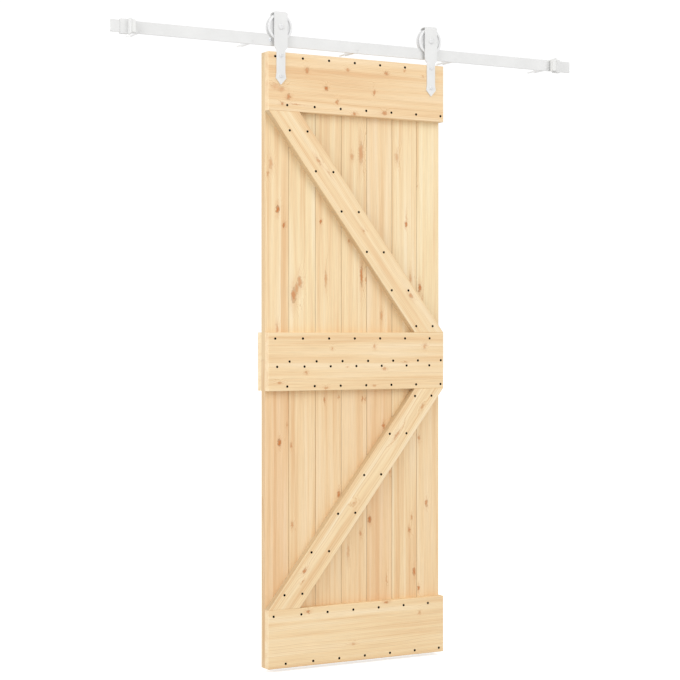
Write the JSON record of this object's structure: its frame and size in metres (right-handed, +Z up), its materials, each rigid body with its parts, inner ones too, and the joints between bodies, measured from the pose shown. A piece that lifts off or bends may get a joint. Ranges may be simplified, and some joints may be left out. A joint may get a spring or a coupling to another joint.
{
  "type": "sliding barn door",
  "caption": "Boarded pine sliding door with rails and diagonal braces, hung by strap hangers from grooved wheels on a flat steel track with end stops.",
  "frame": {"origin": "on the wall's face, on the axis of the track's middle wall screw, with the door closed below the middle of the track", "axes": "X along the track to the right, Y from the room into the wall, Z up"},
  "size_m": [1.83, 0.1565, 2.2375],
  "materials": {
    "pine": "clear satin varnish",
    "white_powder_coat": "satin powder coat",
    "white_wheel_coat": "satin powder coat",
    "white_bolt_coat": "satin paint",
    "black_screw_steel": "black phosphate",
    "zinc_steel": "bright zinc plate",
    "grey_rubber": "matte"
  },
  "bodies": {
    "track": {"track_bar": "white_powder_coat", "wall_spacers": "white_powder_coat", "wall_screws": "white_powder_coat", "left_stop": "white_powder_coat", "right_stop": "white_powder_coat", "left_stop_bumper": "grey_rubber", "right_stop_bumper": "grey_rubber"},
    "door": {"upper_board_1": "pine", "upper_board_2": "pine", "upper_board_3": "pine", "upper_board_4": "pine", "upper_board_5": "pine", "upper_board_6": "pine", "upper_board_7": "pine", "lower_board_1": "pine", "lower_board_2": "pine", "lower_board_3": "pine", "lower_board_4": "pine", "lower_board_5": "pine", "lower_board_6": "pine", "lower_board_7": "pine", "top_rail": "pine", "middle_rail": "pine", "bottom_rail": "pine", "rear_rail": "pine", "upper_brace": "pine", "lower_brace": "pine", "top_rail_screws": "black_screw_steel", "middle_rail_screws": "black_screw_steel", "bottom_rail_screws": "black_screw_steel", "upper_brace_screws": "black_screw_steel", "lower_brace_screws": "black_screw_steel", "left_hanger": "white_powder_coat", "right_hanger": "white_powder_coat", "axle_bolts": "white_bolt_coat", "axle_nuts": "zinc_steel", "strap_bolts": "white_bolt_coat", "strap_nuts": "zinc_steel"},
    "left_wheel": {"left_wheel": "white_wheel_coat"},
    "right_wheel": {"right_wheel": "white_wheel_coat"}
  },
  "joints": [
    {"name": "door_slide", "type": "slide", "parent": "track", "child": "door", "axis": [1, 0, 0], "range_m": [-0.4915, 0.4855]},
    {"name": "left_wheel_turn", "type": "hinge", "parent": "door", "child": "left_wheel", "pos_m": [-0.304, -0.079, 0.0553], "axis": [0, 1, 0], "continuous": true},
    {"name": "right_wheel_turn", "type": "hinge", "parent": "door", "child": "right_wheel", "pos_m": [0.296, -0.079, 0.0553], "axis": [0, 1, 0], "continuous": true}
  ],
  "couplings": [
    {"joint": "left_wheel_turn", "follows": "door_slide", "rad_per_m": 40},
    {"joint": "right_wheel_turn", "follows": "door_slide", "rad_per_m": 40}
  ]
}
